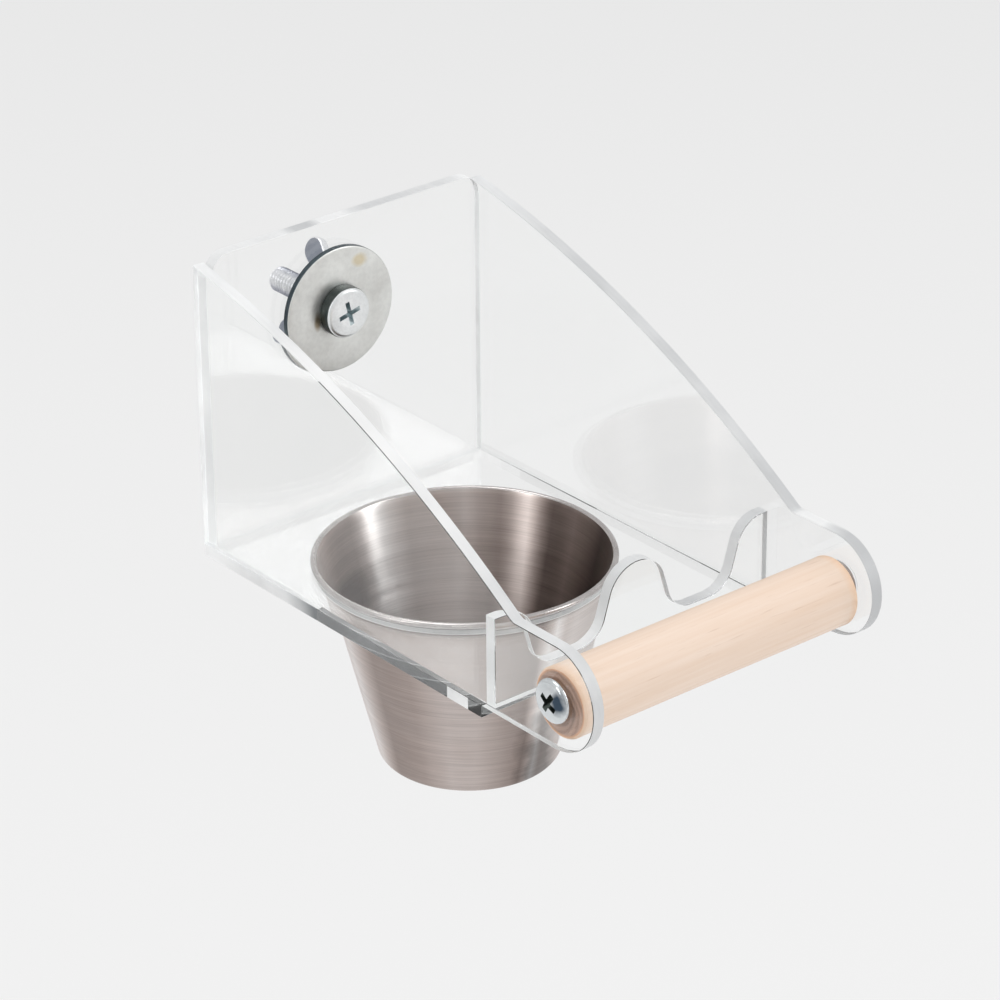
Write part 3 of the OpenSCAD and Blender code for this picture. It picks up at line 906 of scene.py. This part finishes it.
def makeCup():
    c = cup
    top, bottom = cupHigh.z, cupLow.z
    t = c["steel"]
    beadZ, beadX = top - c["beadR"], c["rimR"] - c["beadR"]
    lean = math.atan2(c["neckR"] - c["baseR"], c["neckZ"] - bottom)   # the wall's lean from upright
    edgeX = c["baseR"] - c["edgeR"] * math.tan((math.pi / 2 - lean) / 2)
    degrees = math.degrees(lean)
    foot = arc(edgeX, bottom + c["edgeR"], c["edgeR"], -90, -degrees, 14)
    innerFoot = arc(edgeX, bottom + c["edgeR"], c["edgeR"] - t, -degrees, -90, 12)
    outer = [(0, bottom + c["baseLift"]), (c["ringIn"], bottom + c["baseLift"]), (c["ringOut"], bottom)]
    outer += foot + wallRows(foot[-1], (c["neckR"], c["neckZ"]), c["wallSteps"])
    bead = arc(beadX, beadZ, c["beadR"], -70, 150, c["beadSteps"])
    innerTop = (c["neckR"] - t, c["neckZ"] + 0.2 * mm)
    inner = [innerTop] + wallRows(innerTop, innerFoot[0], c["wallSteps"])[:-1] + innerFoot
    inner += [(c["ringOut"], bottom + t), (c["ringIn"], bottom + t + c["baseLift"]),
              (0, bottom + t + c["baseLift"])]
    bm = ringStack(outer + bead + inner, c["steps"])
    for index, face in enumerate(bm.faces):
        ring = index // c["steps"]
        onBead = ring < len(outer) + c["beadSteps"]
        face.material_index = 0 if ring < len(outer) - 1 else (2 if onBead else 1)
    bm.transform(Matrix.Translation(cupMiddle))
    mesh = finishMesh(bm, "steelCup", 45, cupOutside, cupInside, cupRim)
    addPiece("steelCup", mesh, "cup", "seed_cup")


makeCup()
print("cup made")


# Perch, with the pilot bores of its two screws

perch = {
    "inset": 0.05 * mm,      # it only just touches the panels
    "chamfer": 0.5 * mm,
    "round": (0.15 * mm, 0.22 * mm),      # how far the row inside the chamfer lies from the side and the end
    "uneven": 0.035 * mm,
    "rows": 40,
    "boreR": 1.9 * mm,
    "boreDepth": 16 * mm,
    "borePoint": 19 * mm,
}


def makePerch():
    p = perch
    low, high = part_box("perch")
    low.x, high.x = low.x + p["inset"], high.x - p["inset"]
    r, chamfer, length = (high.z - low.z) / 2, p["chamfer"], high.x - low.x
    inward, along = p["round"]

    def uneven(a, s):
        return r - p["uneven"] * (1 - noise.noise((math.cos(a) * 1.5, math.sin(a) * 1.5, s * 3)))

    rows = [(0, 0), (r - chamfer, 0), (r - inward, along), (r, chamfer)]
    for i in range(1, p["rows"]):
        s = i / p["rows"]
        rows.append((lambda a, s=s: uneven(a, s), chamfer + (length - 2 * chamfer) * s))
    rows += [(r, length - chamfer), (r - inward, length - along), (r - chamfer, length), (0, length)]
    bm = ringStack(rows, 128)
    for face in bm.faces:
        face.material_index = 1 if abs(face.normal.z) > 0.9 else 0
    toX = Matrix(((0, 0, 1), (1, 0, 0), (0, 1, 0))).to_4x4()
    bm.transform(Matrix.Translation((low.x, (low.y + high.y) / 2, (low.z + high.z) / 2)) @ toX)
    whole = finishMesh(bm, "perchWhole", 25, sideWood, endWood)
    cutters = []
    for node, end in (("left_perch_screw", low.x), ("right_perch_screw", high.x)):
        a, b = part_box(node)
        point, depth = p["borePoint"], p["boreDepth"]
        bore = ringStack([(0, -point), (p["boreR"], -depth), (p["boreR"], depth), (0, point)], 48)
        cutters.append((asMesh(bore, "pilotBore", endWood),
                        Matrix.Translation((end, (a.y + b.y) / 2, (a.z + b.z) / 2)) @ toX))
    addPiece("woodPerch", cutAway(whole, cutters, "woodPerch", 25), "housing", "perch")


makePerch()
print("perch made")


# Screws and bolt: each is made along its own axis, head up from zero, and then put in place

def headRows(head):
    # Half section of a pan head, from the middle of its face to the rim of its underside
    r, h, rounding, crown = head["r"], head["h"], head["rounding"], head["crown"]
    flat = r - rounding
    rows = [(flat * s, h + crown * (1 - s * s)) for s in (0, 0.3, 0.55, 0.75, 0.9)]
    rows += arc(flat, h - rounding, rounding, 90, 0, 10)
    return rows + [(r, head["underRise"]), (r - head["underSlope"], head["lift"])]


def headedScrew(name, screw, turn, materials, steps):
    # Materials are for the face, the side and the shank
    head, shank, recess = screw["head"], screw["shank"], screw["recess"]
    rows = headRows(head)
    headRings = len(rows)
    sideTop = head["h"] - head["rounding"] * 0.55
    rows += [(shank["root"], 0)] + threadRows(shank)[1:] + [(0, -shank["length"])]
    bm = ringStack(rows, steps)
    for index, face in enumerate(bm.faces):
        onSide = face.calc_center_median().z < sideTop
        face.material_index = 2 if index // steps >= headRings else int(onSide)
    cutter = crossCutter(recess["reach"], recess["depth"], recess["width"], turn, recess["look"])
    return cutAway(finishMesh(bm, name + "Whole", 32, *materials),
                   [(cutter, Matrix.Translation((0, 0, head["h"] + head["crown"])))], name, 32)


bolt = {
    "head": {"r": 6 * mm, "h": 3.34 * mm, "rounding": 1.0 * mm, "crown": 0.06 * mm, "underRise": 0.28 * mm,
             "underSlope": 0.2 * mm, "lift": 0.03 * mm},
    "shank": {"crest": 2.98 * mm, "root": 2.42 * mm, "pitch": 1.0 * mm, "length": 25 * mm,
              "chamfer": 0.6 * mm, "point": 0},
    "recess": {"reach": 3.25 * mm, "depth": 1.8 * mm, "width": 1.1 * mm, "look": recessZinc},
}
perchScrew = {
    "head": {"r": 5 * mm, "h": 1.55 * mm, "rounding": 1.0 * mm, "crown": 0.65 * mm, "underRise": 0.5 * mm,
             "underSlope": 1.4 * mm, "lift": 0.03 * mm},
    "shank": {"crest": 1.8 * mm, "root": 1.3 * mm, "pitch": 1.6 * mm, "length": 20 * mm,
              "chamfer": 0, "point": 3 * mm},
    "recess": {"reach": 2.9 * mm, "depth": 1.8 * mm, "width": 1.35 * mm, "look": recessShade},
}


def makeBolt():
    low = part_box("mounting_bolt")[0]
    head = bolt["head"]
    mesh = headedScrew("zincBolt", bolt, 13, (boltZinc, boltSideShade, threadZinc), 96)
    mesh.transform(standing(0, low.y + head["h"] + head["crown"], 0))
    addPiece("zincBolt", mesh, "bolt", "mounting_bolt")


def makePerchScrews():
    headHeight = perchScrew["head"]["h"] + perchScrew["head"]["crown"]
    for node, name, quarter, turn, look, under in (
            ("left_perch_screw", "leftScrew", -90, 59, leftChrome, leftChrome),
            ("right_perch_screw", "rightScrew", 90, 20, screwChrome, screwUnderLit)):
        low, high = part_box(node)
        mesh = headedScrew(name, perchScrew, turn, (look, under, screwChrome), 72)
        seat = low.x + headHeight if quarter < 0 else high.x - headHeight
        mesh.transform(Matrix.Translation((seat, (low.y + high.y) / 2, (low.z + high.z) / 2))
                       @ Matrix.Rotation(math.radians(quarter), 4, "Y"))
        addPiece(name, mesh, "housing", node)


makeBolt()
makePerchScrews()
print("bolt and screws made")


# Washer, punched: its edge is rounded on one side and torn on the other; its outer edge is painted dark, as
# painted shade

washer = {
    "hole": 3.2 * mm,
    "roll": 0.45 * mm,
    "burr": 0.12 * mm,
    "holeRoll": 0.2 * mm,
    "dish": 0.015 * mm,
    "steps": 192,
    # the darkRings take the washer's painted shade
    "darkRings": (5, 9),      # the outer edge, from the lower half of its roll to its back
}


def makeWasher():
    w = washer
    low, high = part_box("front_washer")
    r, t = (high.x - low.x) / 2, high.y - low.y
    hole, roll, burr, holeRoll = w["hole"], w["roll"], w["burr"], w["holeRoll"]
    outer = arc(r - roll, t - roll, roll, 90, 0, 8) + [(r, burr), (r - burr, 0)]
    inner = [(hole + burr, 0), (hole, burr)] + arc(hole + holeRoll, t - holeRoll, holeRoll, 180, 90, 5)
    face = [(hole + (r - hole) * s, t - w["dish"] * math.sin(math.pi * s)) for s in (0.2, 0.4, 0.6, 0.8)]
    bm = ringStack(outer + inner + face, w["steps"])
    first, last = w["darkRings"]
    for index, made in enumerate(bm.faces):
        made.material_index = 1 if first <= index // w["steps"] <= last else 0
    bm.transform(standing(0, high.y, 0))
    mesh = finishMesh(bm, "zincWasher", 35, washerZinc, washerEdgeShade)
    addPiece("zincWasher", mesh, "bolt", "front_washer")


makeWasher()
print("washer made")


# Wing nut: hub and wings grown together, as a casting is

wingNut = {
    "hubR": 6 * mm,
    "hubEndR": 4.8 * mm,
    "hubH": 6.2 * mm,
    "bore": 3.15 * mm,
    "span": 25.5 * mm,
    "height": 13.6 * mm,
    "tipR": 3 * mm,
    "rootR": 2.2 * mm,
    "thickness": 2.4 * mm,
    "bevel": 0.25 * mm,      # at the bore's two ends
    "chamfer": 0.3 * mm,     # round the hub's two ends
    "shoulder": (0.1 * mm, 0.35 * mm),      # how far the row below the hub's end lies out and down
    "wingRound": (0.35 * mm, 0.45 * mm),    # how far a wing's rounding reaches on its side and its rim
    "turn": 65,
    "voxel": 0.22 * mm,
}


def wingOutline(n, grow):
    # Outline of one wing between its root and tip circles, in (outward, up)
    root = Vector((n["hubR"] - n["rootR"], n["rootR"]))
    tip = Vector((n["span"] / 2 - n["tipR"], n["height"] - n["tipR"]))
    between = tip - root
    tilt = math.degrees(math.atan2(between.y, between.x))
    spread = math.degrees(math.asin((n["tipR"] - n["rootR"]) / between.length))
    points = arc(tip.x, tip.y, n["tipR"] + grow, tilt - 90 - spread, tilt + 90 + spread, 24)
    points += arc(root.x, root.y, n["rootR"] + grow, tilt + 90 + spread, tilt + 270 - spread, 20)
    return points


def makeWingNut():
    n = wingNut
    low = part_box("wing_nut")[0]
    bore, bevel, hubR, endR, top, c = (n[k] for k in ("bore", "bevel", "hubR", "hubEndR", "hubH", "chamfer"))
    out, down = n["shoulder"]
    bm = ringStack([(bore, bevel), (bore + bevel, 0), (hubR - c, 0), (hubR, c), (endR + out, top - down),
                    (endR - c, top), (bore + bevel, top), (bore, top - bevel)], 96)
    half = n["thickness"] / 2
    onSide, onRim = n["wingRound"]
    layers = ((half, -onRim), (half - onSide, 0), (onSide - half, 0), (-half, -onRim))
    for way in (1, -1):
        skin(bm, [[bm.verts.new((way * x, y, z)) for x, z in wingOutline(n, grow)] for y, grow in layers])
    bmesh.ops.recalc_face_normals(bm, faces=bm.faces)
    holder = addObject("wingNutRough", asMesh(bm, "wingNutRough"))
    grown = holder.modifiers.new("grown", "REMESH")
    grown.mode, grown.voxel_size, grown.use_smooth_shade = "VOXEL", n["voxel"], True
    soften = holder.modifiers.new("soften", "SMOOTH")
    soften.factor, soften.iterations = 0.5, 4
    bm = bmesh.new()
    bm.from_mesh(shapeOf(holder))
    for vert in bm.verts:      # keep the bore clear and the face on the plate flat
        fromAxis = math.hypot(vert.co.x, vert.co.y)
        if 1e-6 < fromAxis < bore:
            vert.co.x *= bore / fromAxis
            vert.co.y *= bore / fromAxis
        vert.co.z = max(vert.co.z, 0)
    turned = Matrix.Rotation(math.radians(-n["turn"]), 4, "Y")
    bm.transform(Matrix.Translation((0, low.y, 0)) @ turned @ Matrix.Rotation(-math.pi / 2, 4, "X"))
    bm.normal_update()
    across = turned @ Vector((0, 0, 1))
    for face in bm.faces:      # the flats of the wings get a darker copy of the zinc: painted shade
        face.smooth = True
        reach = math.hypot(face.calc_center_median().x, face.calc_center_median().z)
        face.material_index = int(abs(face.normal.dot(across)) > 0.85 and reach > hubR)
    mesh = asMesh(bm, "castWingNut", wingZinc, wingFlatShade)
    addPiece("castWingNut", mesh, "nut", "wing_nut")


makeWingNut()
print("wing nut made")


# Floor, world and lamps

stageLook = {
    "floorZ": -0.60,
    "floorColour": 0.87,
    "worldStrength": 0.75,
    "lampAim": (4 * mm, -50 * mm, -40 * mm),
    "lamps": (          # azimuth round the object, height, distance, width, tall, power
        (309, 1.3, 2.6, 0.42, 2.4, 17),
        (182, 1.5, 2.8, 0.8, 2.2, 14),
        (100, 3.4, 0.9, 2.0, 2.0, 26),
    ),
}


def makeFloor(s):
    material, tree, shader = newMaterial("paleFloor")
    give(tree, shader, {"Base Color": (s["floorColour"],) * 3, "Roughness": 1, "Specular IOR Level": 0})
    bm = bmesh.new()
    bmesh.ops.create_circle(bm, cap_ends=True, radius=30, segments=96)
    floor = addObject("floor", asMesh(bm, "floor", material))
    floor.location.z = s["floorZ"]


def makeLight(s):
    world = bpy.data.worlds.new("studio")
    scene.world = world
    world.use_nodes = True
    tree = world.node_tree
    background = tree.nodes["Background"]
    backdrop = tree.nodes.new("ShaderNodeBackground")      # seen by the camera, as pale as the far floor
    for node, share in ((background, 1), (backdrop, s["floorColour"])):
        give(tree, node, {"Color": (1, 1, 1), "Strength": s["worldStrength"] * share})
    lightPath = tree.nodes.new("ShaderNodeLightPath")
    mix = tree.nodes.new("ShaderNodeMixShader")
    give(tree, mix, {"Fac": lightPath.outputs["Is Camera Ray"], 1: background.outputs[0],
                     2: backdrop.outputs[0]})
    give(tree, tree.nodes["World Output"], {"Surface": mix.outputs[0]})
    aim = Vector(s["lampAim"])
    for index, (azimuth, height, distance, width, tall, power) in enumerate(s["lamps"]):
        data = bpy.data.lights.new("softbox" + str(index + 1), "AREA")
        data.shape, data.size, data.size_y, data.energy = "RECTANGLE", width, tall, power
        lamp = addObject(data.name, data)
        a = math.radians(azimuth)
        place = Vector((math.cos(a) * distance, math.sin(a) * distance, height))
        facing = (place - aim).to_track_quat("Z", "Y").to_matrix().to_4x4()
        lamp.matrix_world = Matrix.Translation(place) @ facing


makeFloor(stageLook)
makeLight(stageLook)
print("stage made")
